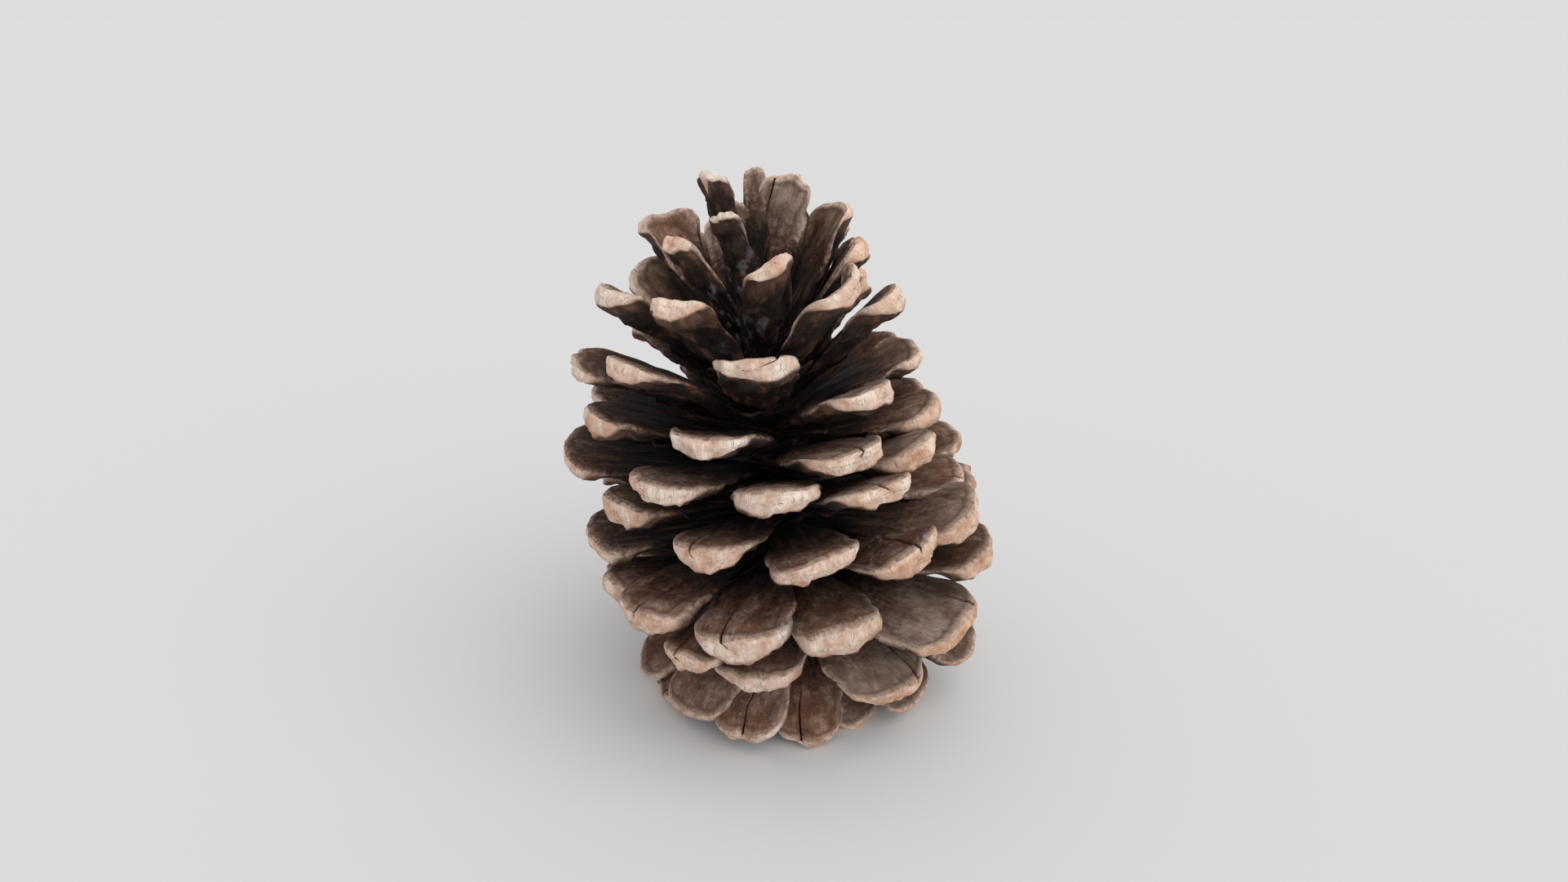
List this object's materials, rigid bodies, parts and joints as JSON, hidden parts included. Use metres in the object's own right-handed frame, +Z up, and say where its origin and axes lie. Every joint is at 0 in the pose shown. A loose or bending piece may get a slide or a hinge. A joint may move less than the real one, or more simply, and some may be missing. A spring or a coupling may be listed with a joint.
{
  "type": "pine cone",
  "caption": "Open woody pine cone with a spiral of spreading scales round one axis, standing on the flat scar of its stalk.",
  "frame": {"origin": "the middle of the flat stalk scar, on the surface that the cone stands on", "axes": "+Z up, along the cone as it stands; the cone's own axis leans a few degrees from +Z towards -X; -Y is the side that the picture shows"},
  "size_m": [0.0594, 0.0568, 0.0765],
  "materials": {
    "scale_wood": "dry weathered wood, matt, grey-brown faces with paler ends and near-black roots"
  },
  "bodies": {
    "root": {"pine_cone": "scale_wood"}
  },
  "joints": []
}
